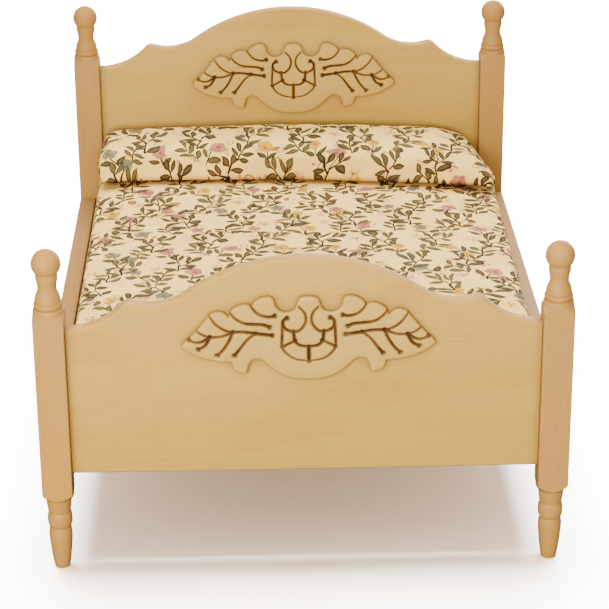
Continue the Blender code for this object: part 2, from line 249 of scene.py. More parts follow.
def wood(name, axis, pale, seed, figure=0.5, blotches=0.5, alone=False, top_lit=False):
    """Thinly varnished pale wood. axis is where the grain runs, figure is how strong the growth
    lines are and blotches how strong the warm patches. Painted shade darkens its hollows and, unless
    the piece is treated alone, the wood beside its neighbours; with top_lit, the faces that look up
    get painted top light."""
    material, tree, shader = new_material(name)
    grain = grain_space(tree, axis, seed)
    patches = noise(stretched(grain, (18, 40, 40)), 1.0, 3.0, 0.55, 0.6)
    lines = noise(stretched(grain, (10, 420, 420)), 1.0, 4.0, 0.65, 0.35)
    fibres = noise(stretched(grain, (90, 2600, 2600)), 1.0, 3.0, 0.7)
    pores = noise(stretched(grain, (260, 3400, 3400), (3, 5, 7)), 1.0, 1.0)
    rings = noise(stretched(grain, (7, 95, 95), (1, 2, 3)), 1.0, 2.0, 0.5, 1.4)
    colour = mixed(tree, ramp(patches, 0.46, 0.72, 0.0, blotches), pale, WARM)
    colour = mixed(tree, ramp(rings, 0.40, 0.68, 0.0, 0.45 * figure), colour, WARM)
    colour = mixed(tree, ramp(lines, 0.50, 0.76, 0.0, 0.45 * figure), colour, DARK)
    colour = mixed(tree, ramp(fibres, 0.52, 0.80, 0.0, 0.30), colour, DARK)
    flecks = ramp(pores, 0.66, 0.74, 0.0, 0.28)
    colour = mixed(tree, flecks, colour, PORE)
    # painted top light on the faces that look up
    if top_lit:
        colour = painted_top_light(tree, colour, grain)
    # painted shade in the hollows and beside neighbouring parts
    plug(tree, shader.inputs["Base Color"], painted_corner_shade(tree, colour, alone))
    plug(tree, shader.inputs["Roughness"], ramp(lines, 0.3, 0.8, 0.55, 0.71))
    height = lines * 0.5 + fibres * 0.35 - flecks * 0.6
    add_bump(tree, shader, height, 0.00006, 0.6)
    plug(tree, shader.inputs["Specular IOR Level"],
         facing_up(tree) * (SANDED_SHEEN - SHEEN) + SHEEN)
    return material


# ================================================================ geometry helpers

def new_object(name, mesh):
    piece = bpy.data.objects.new(name, mesh)
    bpy.context.scene.collection.objects.link(piece)
    return piece


def built(name, builder):
    """Makes an object of a bmesh and frees the bmesh."""
    mesh = bpy.data.meshes.new(name)
    builder.to_mesh(mesh)
    builder.free()
    return new_object(name, mesh)


def cover_with(piece, material, sharp_angle):
    """Gives the piece one material, and smooth shading but for its sharp edges."""
    piece.data.materials.clear()
    piece.data.materials.append(material)
    piece.data.shade_smooth()
    piece.data.set_sharp_from_angle(angle=radians(sharp_angle))


def box_object(name, low, high):
    builder = bmesh.new()
    bmesh.ops.create_cube(builder, size=1.0)
    middle = (Vector(low) + Vector(high)) / 2
    size = Vector(high) - Vector(low)
    for vert in builder.verts:
        vert.co = middle + Vector(a * b for a, b in zip(vert.co, size))
    return built(name, builder)


def add_bevel(piece, width, segments):
    bevel = piece.modifiers.new("arris", "BEVEL")
    bevel.width = width
    bevel.segments = segments
    bevel.limit_method = "ANGLE"
    bevel.angle_limit = pi / 5


def cut(piece, cutter, operation="DIFFERENCE"):
    boolean = piece.modifiers.new(cutter.name, "BOOLEAN")
    boolean.operation = operation
    boolean.object = cutter
    boolean.solver = "EXACT"


def baked(piece, *helpers):
    """Applies the piece's modifiers and removes the objects that only shaped it."""
    bpy.context.view_layer.update()
    depsgraph = bpy.context.evaluated_depsgraph_get()
    mesh = bpy.data.meshes.new_from_object(piece.evaluated_get(depsgraph))
    piece.modifiers.clear()
    piece.data = mesh
    for helper in helpers:
        bpy.data.objects.remove(helper)
    return piece


def arc(centre, radius, start, end, count):
    step = (end - start) / (count - 1)
    return [(centre[0] + radius * cos(start + step * i), centre[1] + radius * sin(start + step * i))
            for i in range(count)]


# ================================================================ posts

def finial_profile(ball_z):
    """From the ball's top down to the square: ball, collar, waist, bell, bead and ring."""
    join = asin(2.8 * MM / BALL_RADIUS)
    turns = [(pi - join) * i / 20 for i in range(21)]
    ball = [(BALL_RADIUS * sin(turn), ball_z + BALL_RADIUS * cos(turn)) for turn in turns]
    below = [(2.86, -3.2), (2.85, -4.0), (2.72, -4.6), (2.55, -5.3), (2.45, -6.3), (2.50, -7.0),
             (2.68, -7.5), (2.90, -7.9), (3.14, -8.5), (3.30, -9.2), (3.36, -9.9), (3.38, -10.3),
             (3.62, -10.45), (3.74, -10.8), (3.74, -11.2), (3.60, -11.6), (3.52, -11.8),
             (3.80, -12.0), (3.96, -12.3), (3.99, -13.0)]
    return ball + [(radius * MM, ball_z + drop * MM) for radius, drop in below]


def foot_profile():
    """From the square down to the floor: cone, bead between two grooves, and a tapering toe."""
    heights = [(3.50, 20.6), (3.38, 19.8), (3.20, 18.4), (3.05, 17.2), (2.95, 16.85), (2.92, 16.6),
               (3.05, 16.3), (3.20, 15.7), (3.28, 15.0), (3.30, 14.2), (3.26, 13.5), (3.15, 12.9),
               (2.98, 12.5), (2.82, 12.3), (2.80, 12.1), (2.90, 11.8), (3.02, 11.2), (3.10, 10.4),
               (3.10, 9.6), (3.04, 8.4), (2.92, 6.8), (2.72, 4.8), (2.48, 2.8), (2.26, 1.3),
               (2.10, 0.5), (1.95, 0.15), (1.75, 0.0), (0.0, 0.0)]
    return [(radius * MM, height * MM) for radius, height in heights]


def turned(name, profile, place):
    mesh = bpy.data.meshes.new(name)
    points = [(radius, 0.0, height) for radius, height in profile]
    mesh.from_pydata(points, [(i, i + 1) for i in range(len(points) - 1)], [])
    piece = new_object(name, mesh)
    piece.location = place
    screw = piece.modifiers.new("turn", "SCREW")
    screw.steps = TURNING_STEPS
    screw.render_steps = TURNING_STEPS
    screw.use_merge_vertices = True
    screw.merge_threshold = 0.005 * MM
    screw.use_smooth_shade = True
    return piece


def post(node_name, side, end, material):
    """A square post between two turned ends, with the board's groove and the rail's mortise."""
    low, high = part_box(node_name)
    middle = (low + high) / 2
    square_low = (low.x, low.y, low.z - MM)
    square_high = (high.x, high.y, high.z + MM)
    ball_z = high.z - BALL_RADIUS
    piece = box_object(node_name.replace("post", "turned_post"), square_low, square_high)
    add_bevel(piece, POST_ARRIS, 3)
    waist = [(SQUARE_RADIUS, ball_z - 15.5 * MM), (SQUARE_RADIUS, 23.4 * MM)]
    profile = finial_profile(ball_z) + waist + foot_profile()
    lathe = turned("lathe", profile, (middle.x, middle.y, 0.0))
    cut(piece, lathe, "INTERSECT")
    board_low, board_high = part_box("footboard_panel" if end < 0 else "headboard_panel")
    rail_low, rail_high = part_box("side_rail_right" if side > 0 else "side_rail_left")
    shoulder_z = board_high.z - CREST_RISE
    inner_x = sorted((middle.x - side * SLOT_REACH, side * (board_high.x + CLEARANCE)))
    half = TONGUE_THICKNESS / 2 + CLEARANCE
    groove = box_object("groove",
                        (inner_x[0], middle.y - half, board_low.z + TONGUE_MARGIN - CLEARANCE),
                        (inner_x[1], middle.y + half, shoulder_z - TONGUE_MARGIN + CLEARANCE))
    cut(piece, groove)
    inner_y = sorted((middle.y - end * SLOT_REACH, end * (rail_high.y + CLEARANCE)))
    rail_x = (rail_low.x + rail_high.x) / 2
    half = TENON_THICKNESS / 2 + CLEARANCE
    mortise = box_object("mortise",
                         (rail_x - half, inner_y[0], rail_low.z + TENON_MARGIN - CLEARANCE),
                         (rail_x + half, inner_y[1], rail_high.z - TENON_MARGIN + CLEARANCE))
    cut(piece, mortise)
    baked(piece, lathe, groove, mortise)
    cover_with(piece, material, 28)
    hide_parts(node_name)
    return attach(piece, "bedstead")


# ================================================================ boards

def rounded_corner(start, corner, end, count):
    """Points on the parabola that leaves start towards corner and arrives at end from it."""
    points = []
    for i in range(count):
        t = i / (count - 1)
        weights = ((1 - t) ** 2, 2 * t * (1 - t), t ** 2)
        points.append(tuple(sum(w * p[axis] for w, p in zip(weights, (start, corner, end)))
                            for axis in (0, 1)))
    return points


def crest(shoulder_z, half_width, shoulder_x):
    """Right half of a board's upper edge from the crown to the post: a crown arc, a hollow that
    rises again to a rounded cusp, and a hollow shoulder that runs out level at the post."""
    crown_z = shoulder_z + CREST_RISE
    dip_z = shoulder_z + DIP_RISE
    turn = 2 * atan((CREST_RISE - DIP_RISE) / DIP_X)
    dip_radius = DIP_X / sin(turn) - CROWN_RADIUS
    crown = arc((0.0, crown_z - CROWN_RADIUS), CROWN_RADIUS, pi / 2, pi / 2 - turn, 32)
    dip_end = asin((CUSP_X - CUSP_ROUNDING - DIP_X) / dip_radius)
    dip = arc((DIP_X, dip_z + dip_radius), dip_radius, -pi / 2 - turn, -pi / 2 + dip_end, 16)
    start = -pi / 2 - asin((shoulder_x - CUSP_X - CUSP_ROUNDING) / SHOULDER_RADIUS)
    shoulder = arc((shoulder_x, shoulder_z + SHOULDER_RADIUS), SHOULDER_RADIUS, start, -pi / 2, 18)
    cusp_z = dip_z + (CUSP_X - DIP_X) ** 2 / (2 * dip_radius)
    cusp = rounded_corner(dip[-1], (CUSP_X, cusp_z), shoulder[0], 9)
    shoulder[-1] = (half_width, shoulder_z)
    return crown + dip[1:] + cusp[1:-1] + shoulder


def slab(name, outline, front_y, back_y):
    """A closed board between two planes, from its outline in X and Z."""
    builder = bmesh.new()
    face = builder.faces.new([builder.verts.new((x, front_y, z)) for x, z in outline])
    made = bmesh.ops.extrude_face_region(builder, geom=[face])
    moved = [item for item in made["geom"] if isinstance(item, bmesh.types.BMVert)]
    bmesh.ops.translate(builder, verts=moved, vec=(0.0, back_y - front_y, 0.0))
    bmesh.ops.recalc_face_normals(builder, faces=builder.faces)
    return built(name, builder)


def round_long_edges(piece, half_width):
    """Limits the board's bevel to the edges of its two faces, and spares those at the posts."""
    piece.modifiers["arris"].limit_method = "WEIGHT"
    weights = piece.data.attributes.new("bevel_weight_edge", "FLOAT", "EDGE")
    for edge in piece.data.edges:
        start, end = (piece.data.vertices[index].co for index in edge.vertices)
        at_post = min(abs(start.x), abs(end.x)) > half_width - 0.01 * MM
        along_face = abs(start.y - end.y) < 0.01 * MM
        weights.data[edge.index].value = 1.0 if along_face and not at_post else 0.0


def board(node_name, material):
    """The shaped board, with rounded arrises and a tongue at each end for the posts' grooves."""
    low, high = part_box(node_name)
    shoulder_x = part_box("foot_post_right")[0].x
    half_width = shoulder_x - 0.15 * MM
    shoulder_z = high.z - CREST_RISE
    upper = crest(shoulder_z, half_width, shoulder_x)
    half = upper + [(half_width, low.z), (0.0, low.z)]
    outline = half + [(-x, z) for x, z in reversed(half) if x > 0.01 * MM]
    piece = slab(node_name.replace("panel", "shaped_board"), outline, low.y, high.y)
    add_bevel(piece, BOARD_ARRIS, 4)
    round_long_edges(piece, half_width)
    middle_y = (low.y + high.y) / 2
    tongue = box_object("tongue",
                        (low.x, middle_y - TONGUE_THICKNESS / 2, low.z + TONGUE_MARGIN),
                        (high.x, middle_y + TONGUE_THICKNESS / 2, shoulder_z - TONGUE_MARGIN))
    cut(piece, tongue, "UNION")
    baked(piece, tongue)
    cover_with(piece, material, 25)
    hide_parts(node_name)
    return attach(piece, "bedstead")


# ================================================================ carvings

# Right half of the outline in millimetres about the carving's middle, from the top of the centre
# lobe round to the foot of the apron. Each run is a smooth stroke, and strokes meet at corners.
CARVING_OUTLINE = (
    ((0.0, 12.05), (1.4, 11.9), (2.5, 11.2), (3.0, 9.9), (3.4, 8.8), (4.5, 7.9), (6.1, 7.65),
     (7.5, 8.3), (8.4, 9.5), (8.7, 10.8), (9.3, 11.8), (10.5, 12.05), (12.0, 11.8), (13.6, 10.9),
     (14.6, 9.6)),
    ((14.6, 9.6), (15.4, 9.9), (16.8, 9.95), (18.4, 9.4), (19.7, 8.3), (20.4, 6.6)),
    ((20.4, 6.6), (21.0, 7.3), (22.0, 7.9), (23.4, 8.05), (24.9, 7.5), (25.8, 6.4), (28.4, 3.1),
     (30.2, 1.05), (31.8, -0.5), (32.5, -1.6)),
    ((32.5, -1.6), (31.6, -2.7), (29.5, -4.1), (26.8, -5.3), (23.6, -6.1), (19.8, -6.5)),
    ((19.8, -6.5), (19.6, -7.4), (19.1, -8.7), (18.0, -9.5), (15.9, -9.85)),
    ((15.9, -9.85), (15.8, -8.95), (15.4, -7.35), (14.8, -6.2), (13.5, -5.6), (12.0, -5.9),
     (10.5, -7.35), (8.4, -9.2), (6.1, -10.6), (3.4, -11.45), (0.0, -11.7)),
)

# The grooves of the right half: their points, and how deep each starts and ends next to the others
CARVING_GROOVES = (
    (((28.4, 2.65), (27.0, 1.75), (25.2, 1.15), (22.7, 1.15), (20.7, 1.75), (19.3, 2.4),
      (16.4, 2.4), (13.6, 1.95), (9.3, 1.3)), 0.6, 1.2),
    (((25.5, 7.35), (24.0, 5.15), (22.3, 3.55), (20.2, 2.5), (19.3, 2.4)), 0.5, 0.9),
    (((20.2, 7.9), (18.4, 6.05), (16.4, 4.9), (13.6, 4.55), (11.4, 4.3), (9.9, 3.6)), 0.6, 1.2),
    (((14.6, 9.5), (13.9, 8.6), (13.2, 7.8), (11.8, 6.95), (10.0, 6.6), (8.6, 6.85)), 0.6, 1.0),
    (((30.5, 0.35), (29.1, -0.3), (27.3, -0.2), (25.2, 1.1)), 0.6, 1.0),
    (((25.2, 1.1), (25.7, -0.1), (26.6, -1.45), (28.2, -2.35)), 1.0, 0.9),
    (((19.3, 2.4), (20.2, 0.15), (21.7, -2.35), (23.4, -4.2)), 0.9, 0.8),
    (((13.6, 1.95), (15.7, 0.15), (17.5, -2.35), (19.0, -4.3)), 0.6, 1.0),
    (((5.4, 6.15), (6.3, 5.6), (6.6, 4.5), (6.1, 3.3), (4.5, 2.4), (2.8, 2.4), (1.4, 3.7),
      (0.7, 5.6), (1.1, 7.65), (2.5, 9.25)), 1.1, 0.6),
    (((6.6, 4.5), (6.75, 1.95), (6.8, -1.9), (5.7, -3.95), (3.4, -5.55), (0.0, -6.2)), 0.9, 0.5),
    (((3.9, 2.3), (3.5, -0.3), (2.3, -1.6), (0.0, -2.0)), 1.1, 0.8),
    (((3.5, -0.3), (6.7, -2.0)), 0.8, 0.8),
    (((0.0, -2.0), (0.0, -6.2)), 1.3, 1.3),
)

# Where the burning tool paused: place, and how deep the pit is
CARVING_PITS = (
    ((9.3, 1.3), 1.0), ((13.6, 1.95), 0.8), ((19.3, 2.4), 1.0), ((25.2, 1.1), 1.0),
    ((28.2, -2.35), 0.9), ((23.4, -4.2), 0.9), ((19.0, -4.3), 1.0), ((9.9, 3.6), 1.0),
    ((8.6, 6.85), 0.9), ((5.4, 6.15), 1.0), ((3.5, -0.3), 1.0), ((3.9, 2.3), 0.8),
    ((6.7, -2.0), 0.7), ((0.0, -2.0), 0.6), ((0.0, -6.2), 0.6), ((30.5, 0.35), 0.4),
)

CARVING_ARRIS = 0.65                # millimetres, as the rest of the carving's own sizes
CARVING_SWELL = 0.25
GROOVE_DEPTH, PIT_DEPTH = 0.60, 0.30
GROOVE_WIDTHS = {"foot": 0.38, "head": 0.29}
PIT_WIDTH, PIT_SCORCH_WIDTH = 0.56, 0.72
RIM_SCORCH = 0.03                   # the sawn edge, browned at its foot
CARVING_FLATNESS = 0.97             # its height next to the outline's
CARVING_PLACES = {"foot": (1.1, -0.1), "head": (1.0, -0.9)}   # glued on by hand, off the middle

# The net of points on its face: lines beside the rim and the grooves, and a lattice between them
RIM_SPACING, RIM_LINES = 0.24, (0.07, 0.18, 0.33, 0.55)
GROOVE_SPACING = 0.2
GROOVE_LINES = (-0.72, -0.52, -0.36, -0.23, -0.11, 0.0, 0.11, 0.23, 0.36, 0.52, 0.72)
LATTICE_STEP, LATTICE_TO_GROOVE = 0.42, 0.85
LEAST_TO_RIM, LEAST_APART = 0.05, 0.085


def smooth_run(points, spacing):
    """Points about spacing apart on a smooth curve through the given ones."""
    points = np.array(points, float)
    if len(points) == 2:
        count = max(2, int(np.linalg.norm(points[1] - points[0]) / spacing) + 1)
        return points[0] + np.linspace(0, 1, count)[:, None] * (points[1] - points[0])
    padded = np.vstack([2 * points[0] - points[1], points, 2 * points[-1] - points[-2]])
    found = []
    for before, start, end, after in zip(padded, padded[1:], padded[2:], padded[3:]):
        count = max(1, int(round(np.linalg.norm(end - start) / spacing)))
        for t in np.arange(count) / count:
            found.append(0.5 * (2 * start + (end - before) * t
                                + (2 * before - 5 * start + 4 * end - after) * t ** 2
                                + (3 * start - before - 3 * end + after) * t ** 3))
    return np.array(found + [points[-1]])


def nearest(places, starts, ends):
    """How far each place lies from the nearest of the segments, and which segment that is."""
    best = np.full(len(places), 1e9)
    which = np.zeros(len(places), int)
    for index, (start, end) in enumerate(zip(starts, ends)):
        along = end - start
        t = np.clip((places - start) @ along / max(along @ along, 1e-12), 0, 1)
        distance = np.linalg.norm(places - start - t[:, None] * along, axis=1)
        closer = distance < best
        best[closer] = distance[closer]
        which[closer] = index
    return best, which


def both_sides(points):
    return [np.array(points, float), np.array(points, float) * (-1, 1)]


def closed_outline(spacing):
    half = np.vstack([smooth_run(run, spacing)[:-1] for run in CARVING_OUTLINE])
    last = np.array(CARVING_OUTLINE[-1][-1:])
    mirror = half[1:][::-1] * (-1, 1)
    return np.vstack([half, last, mirror])


def beside(line, offset, closed):
    """The line moved sideways by offset."""
    if closed:
        tangent = np.roll(line, -1, 0) - np.roll(line, 1, 0)
    else:
        tangent = np.gradient(line, axis=0)
    tangent /= np.maximum(np.linalg.norm(tangent, axis=1), 1e-9)[:, None]
    return line + offset * np.stack([tangent[:, 1], -tangent[:, 0]], 1)


def carving_net():
    """The carving's face as triangles in millimetres, fine along its rim and grooves, with each
    point's distance from the rim and from the nearest groove, and that groove's depth."""
    rim = closed_outline(RIM_SPACING)
    rim_ends = np.roll(rim, -1, 0)
    grooves = [(smooth_run(run, GROOVE_SPACING), first, last)
               for line, first, last in CARVING_GROOVES for run in both_sides(line)]
    starts = np.vstack([run[:-1] for run, first, last in grooves])
    ends = np.vstack([run[1:] for run, first, last in grooves])
    depths = np.concatenate([np.linspace(first, last, len(run) - 1) for run, first, last in grooves])
    places = [beside(rim, offset, True) for offset in RIM_LINES]
    places += [beside(run, offset, False) for run, first, last in grooves for offset in GROOVE_LINES]
    columns, rows = np.meshgrid(np.arange(-33, 33, LATTICE_STEP),
                                np.arange(-12.5, 12.6, LATTICE_STEP * 0.87))
    columns[::2] += LATTICE_STEP / 2
    lattice = np.stack([columns.ravel(), rows.ravel()], 1)
    groove_far = nearest(lattice, starts, ends)[0] > LATTICE_TO_GROOVE
    places.append(lattice[groove_far])
    places = np.vstack(places)
    rim_far = nearest(places, rim, rim_ends)[0] > LEAST_TO_RIM
    places = spaced(places[rim_far & inside(places, rim)], LEAST_APART)
    corners = [Vector(point) for point in np.vstack([rim, places])]
    border = [(i, (i + 1) % len(rim)) for i in range(len(rim))]
    made = delaunay_2d_cdt(corners, border, [list(range(len(rim)))], 1, 1e-6)
    net = np.array([tuple(point) for point in made[0]])
    rim_distance = nearest(net, rim, rim_ends)[0]
    groove_distance, groove = nearest(net, starts, ends)
    return net, made[2], rim_distance, groove_distance, depths[groove]


def spaced(places, least):
    """Drops the places that fall in a square of side least that already has one."""
    keys = np.round(places / least).astype(int)
    kept = np.unique(keys, axis=0, return_index=True)[1]
    return places[np.sort(kept)]


def inside(places, outline):
    """Which places lie inside a closed outline."""
    x, y = places[:, 0], places[:, 1]
    found = np.zeros(len(places), bool)
    for (x1, y1), (x2, y2) in zip(outline, np.roll(outline, -1, 0)):
        crosses = (y1 > y) != (y2 > y)
        if y1 != y2:
            found ^= crosses & (x < (x2 - x1) * (y - y1) / (y2 - y1) + x1)
    return found


def carving_relief(points, rim_distance, groove_distance, groove_depth, groove_width):
    """Height above the rim's foot of the arris, in millimetres, and scorch from 0 to 1."""
    arris = np.clip(CARVING_ARRIS - rim_distance, 0, CARVING_ARRIS)
    height = np.sqrt(CARVING_ARRIS ** 2 - arris ** 2) - CARVING_ARRIS
    height += CARVING_SWELL * (1 - np.exp(-(rim_distance / 1.4) ** 2))
    width = groove_width * np.sqrt(groove_depth)
    depth = GROOVE_DEPTH * groove_depth * np.exp(-(groove_distance / width) ** 2)
    scorch = np.minimum(groove_depth, 1) * np.exp(-(groove_distance / (1.1 * width)) ** 2)
    scorch += 0.10 * np.exp(-(groove_distance / 1.0) ** 2)
    for place, deep in CARVING_PITS:
        for centre in both_sides([place]):
            distance = np.linalg.norm(points - centre, axis=1)
            depth = np.maximum(depth, (GROOVE_DEPTH + PIT_DEPTH) * deep
                               * np.exp(-(distance / PIT_WIDTH) ** 2))
            scorch = np.maximum(scorch, (0.6 + 0.4 * deep)
                                * np.exp(-(distance / PIT_SCORCH_WIDTH) ** 4))
    return height - depth, np.clip(scorch, 0, 1)


def carving(end_name, net, material):
    """The carving, glued to the board's face: its net raised, a wall down from the rim and a flat
    back."""
    node_name = end_name + "board_carving"
    low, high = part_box(node_name)
    face_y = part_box(end_name + "board_panel")[0].y
    middle_x, middle_z = CARVING_PLACES[end_name][0] * MM, CARVING_PLACES[end_name][1] * MM
    middle_z += (low.z + high.z) / 2
    points, triangles, *distances = net
    height, scorch = carving_relief(points, *distances, GROOVE_WIDTHS[end_name])
    thickness = (face_y - low.y) / MM - CARVING_SWELL
    builder = bmesh.new()
    layer = builder.verts.layers.float.new("scorch")
    front = []
    for (x, z), rise, burnt in zip(points, height, scorch):
        vert = builder.verts.new((middle_x + x * MM, face_y - (thickness + rise) * MM,
                                  middle_z + z * CARVING_FLATNESS * MM))
        vert[layer] = burnt
        front.append(vert)
    for triangle in triangles:
        builder.faces.new([front[i] for i in triangle])
    rim_edges = [edge for edge in builder.edges if len(edge.link_faces) == 1]
    made = bmesh.ops.extrude_edge_only(builder, edges=rim_edges)
    foot = [item for item in made["geom"] if isinstance(item, bmesh.types.BMVert)]
    for vert in foot:
        vert.co.y = face_y
        vert[layer] = RIM_SCORCH
    foot_edges = [item for item in made["geom"] if isinstance(item, bmesh.types.BMEdge)
                  and all(vert.co.y == face_y for vert in item.verts)]
    bmesh.ops.contextual_create(builder, geom=foot_edges)
    bmesh.ops.recalc_face_normals(builder, faces=builder.faces)
    piece = built(node_name.replace("carving", "leaf_carving"), builder)
    cover_with(piece, material, 60)
    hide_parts(node_name)
    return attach(piece, "bedstead")


def carved_wood(name):
    """The carvings' wood: pale between grooves that are scorched brown, darkest in the pits."""
    material = wood(name, "x", PALE_CARVING, 0.5, figure=0.25, blotches=0.3)
    tree = material.node_tree
    shader = tree.nodes["Principled BSDF"]
    plain = Wire(tree, shader.inputs["Base Color"].links[0].from_socket)
    burn = node(tree, "Attribute", output="Fac", settings={"attribute_name": "scorch"})
    uneven = ramp(noise(position(tree), 420.0, 2.0), 0.25, 0.75, 0.75, 1.1)
    burn = burn * uneven
    brown = mixed(tree, ramp(burn, 0.05, 0.60), plain, SCORCHED)
    black = mixed(tree, ramp(burn, 0.65, 0.95), brown, CHARRED)
    plug(tree, shader.inputs["Base Color"], black)
    plug(tree, shader.inputs["Specular IOR Level"], ramp(burn, 0.0, 0.35, SHEEN, 0.0))
    return material


# ================================================================ printed cotton

CREAM, CREAM_SHADE = (0.97, 0.66, 0.200), (0.84, 0.54, 0.150)
OLIVE, OLIVE_PALE, OUTLINE = (0.066, 0.048, 0.020), (0.125, 0.100, 0.040), (0.022, 0.012, 0.009)
STEM, RUST = (0.022, 0.013, 0.013), (0.110, 0.055, 0.024)
PINK, FADED_PINK = (0.37, 0.112, 0.100), (0.60, 0.270, 0.150)
YELLOW, OCHRE, SLATE = (0.57, 0.280, 0.006), (0.42, 0.170, 0.010), (0.110, 0.118, 0.082)
# Painted shade where cloth meets cloth or wood: its colour, and how far it reaches
CREASE_SHADE, CREASE_SHADE_REACH = (0.66, 0.50, 0.34), 5.5 * MM    # where cloth meets cloth or wood

PRINT_SCALE = 1.12                  # of all the print's sizes, which are in millimetres
PRINT_CELL = (14.9, 14.9)
LEAF_LENGTH, LEAF_WIDTH = 3.9, 0.87
INK_BLUR = 0.09
THREAD_SPACING = 0.28


def hashed(cell_x, cell_y, seed):
    """Three random numbers for a cell of the print."""
    vector = joined(cell_x.tree, cell_x, cell_y, seed)
    return parts_of(node(cell_x.tree, "TexWhiteNoise", output="Color",
                         settings={"noise_dimensions": "3D"}, Vector=vector))


def cells(x, y, width, height, seed, jitter, tilt):
    """Splits the cloth into staggered cells. Gives the place inside the cell in millimetres, moved
    and turned by the cell's own random numbers, and three more of its random numbers."""
    row = (y / height).call("FLOOR")
    column_place = x / width + row * 0.5
    column = column_place.call("FLOOR")
    first, second, third = hashed(column, row, seed)
    inner_x = (column_place - column - 0.5) * width - (first - 0.5) * jitter
    inner_y = (y / height - row - 0.5) * height - (second - 0.5) * jitter
    angle = (third - 0.5) * (2 * tilt)
    c, s = angle.call("COSINE"), angle.call("SINE")
    return inner_x * c + inner_y * s, inner_y * c - inner_x * s, hashed(column, row, seed + 7.5)


def leaf(along, across, length=LEAF_LENGTH, width=LEAF_WIDTH):
    """Above 0 inside a pointed leaf: millimetres from its edge, across it."""
    t = along / length
    return t * (1.0 - t) * (4 * width) - abs(across)


def leaves_on_stem(x, y, spacing, first, last, lean):
    """Pairs of leaves that leave a stem along y, one side half a step before the other."""
    right = x > 0.0
    shifted = y + right * (spacing * 0.5)
    out = abs(x) - 0.2
    row = ((shifted - out * (cos(lean) / sin(lean))) / spacing + 0.5).call("FLOOR")
    up = shifted - (row | first).call("MINIMUM", last) * spacing
    return leaf(out * sin(lean) + up * cos(lean), out * cos(lean) - up * sin(lean))


def stroke(x, y, start, end, half_width):
    """Above 0 inside a line along y from start to end."""
    middle, reach = (start + end) / 2, (end - start) / 2
    ends = abs(y - middle) - (reach - half_width)
    return half_width - (abs(x) | ends)


def forked_sprig(x, y, lean):
    """A stem that forks into two curved branches, each with leaves on both sides and one at its
    tip, and a pair of leaves low on the stem. Gives the leaves' value and the stems'."""
    right = x > 0.0
    out = abs(x)
    up = y + 2.2 - right * 1.1
    along = out * sin(lean) + up * cos(lean)
    across = out * cos(lean) - up * sin(lean) + along * along * 0.04
    leaves = leaves_on_stem(across, along - 0.2, 2.4, 1.0, 1.0, 0.95)
    leaves = leaves | leaf(along - 3.4, across) | leaves_on_stem(x, y + 4.3, 1.6, 0.0, 0.0, 1.15)
    return leaves, stroke(across, along, 0.0, 3.8, 0.26) | stroke(x, y, -5.6, -1.4, 0.27)


def straight_sprig(x, y):
    """A short curved stem with leaves on both sides and one at its tip."""
    curved = x - y * y * 0.06
    leaves = leaves_on_stem(curved, y + 1.8, 2.6, 0.0, 1.0, 1.0) | leaf(y - 1.9, curved)
    return leaves, stroke(curved, y, -3.6, 2.3, 0.25)


def blossom(x, y, radius, depth, turn):
    """Above 0 inside a flower with five rounded petals, and the distance from its heart."""
    angle = y.maths("ARCTAN2", y, x) * 5.0 + turn
    distance = (x * x + y * y).call("SQRT")
    return (angle.call("COSINE") * depth + (1.0 - depth)) * radius - distance, distance


def inked(colour, value, ink):
    return mixed(value.tree, ramp(value, -INK_BLUR, INK_BLUR), colour, ink)


def print_leaves(colour, leaves, stems, tint, rusty_share):
    """Stems, then leaves with a dark outline and a paler middle, in each sprig's own green."""
    tree = leaves.tree
    green = mixed(tree, ramp(tint, 0.2, 0.7), OLIVE, OLIVE_PALE)
    green = mixed(tree, ramp(tint, 1.0 - rusty_share, 1.01 - rusty_share), green, RUST)
    colour = inked(colour, stems, STEM)
    colour = inked(colour, leaves, OUTLINE)
    colour = inked(colour, leaves - 0.28, green)
    return inked(colour, leaves - 0.60, mixed(tree, 0.6, green, OLIVE_PALE))


def print_forked_sprigs(colour, u, v):
    """The main sprigs, a third of them with a flower on a stalk from the fork."""
    x, y, (kind, tint, turn) = cells(u, v, *PRINT_CELL, 1.0, 1.2, 0.50)
    x = x * ((turn > 0.5) * 2.0 - 1.0)
    colour = print_blossom(colour, x + 0.3, y - 4.4, kind * 2.0, turn, 2.0)
    shown = ramp(kind, 0.33, 0.34, 0.0, -9.0)
    leaves, stems = forked_sprig(x, y, 0.85)
    stalk = stroke(x - y * 0.08, y, -2.2, 3.0, 0.19) + shown
    return print_leaves(colour, leaves, stems | stalk, tint, 0.06)


def print_straight_sprigs(colour, u, v):
    """Small sprigs in half of the gaps between the main ones, some of them rust brown."""
    x, y, randoms = cells(u + 0.25 * PRINT_CELL[0], v + 0.5 * PRINT_CELL[1], *PRINT_CELL, 2.0, 2.0,
                          1.2)
    leaves, stems = straight_sprig(x * 1.05, y * 1.05)
    return print_leaves(colour, leaves, stems, randoms[1], 0.15)


def print_flower_sprigs(colour, u, v):
    """Flowers with a pair of leaves below them, in the other half of the gaps."""
    x, y, (kind, tint, turn) = cells(u + 0.75 * PRINT_CELL[0], v + 0.5 * PRINT_CELL[1],
                                     *PRINT_CELL, 3.0, 2.0, 0.9)
    leaves = leaves_on_stem(x, y + 2.6, 1.2, 0.0, 0.0, 1.0)
    stem = stroke(x - y * y * 0.05, y, -4.4, -0.3, 0.20)
    colour = print_leaves(colour, leaves, stem, tint, 0.20)
    return print_blossom(colour, x, y - 1.5, kind * 0.64, turn, 2.1)


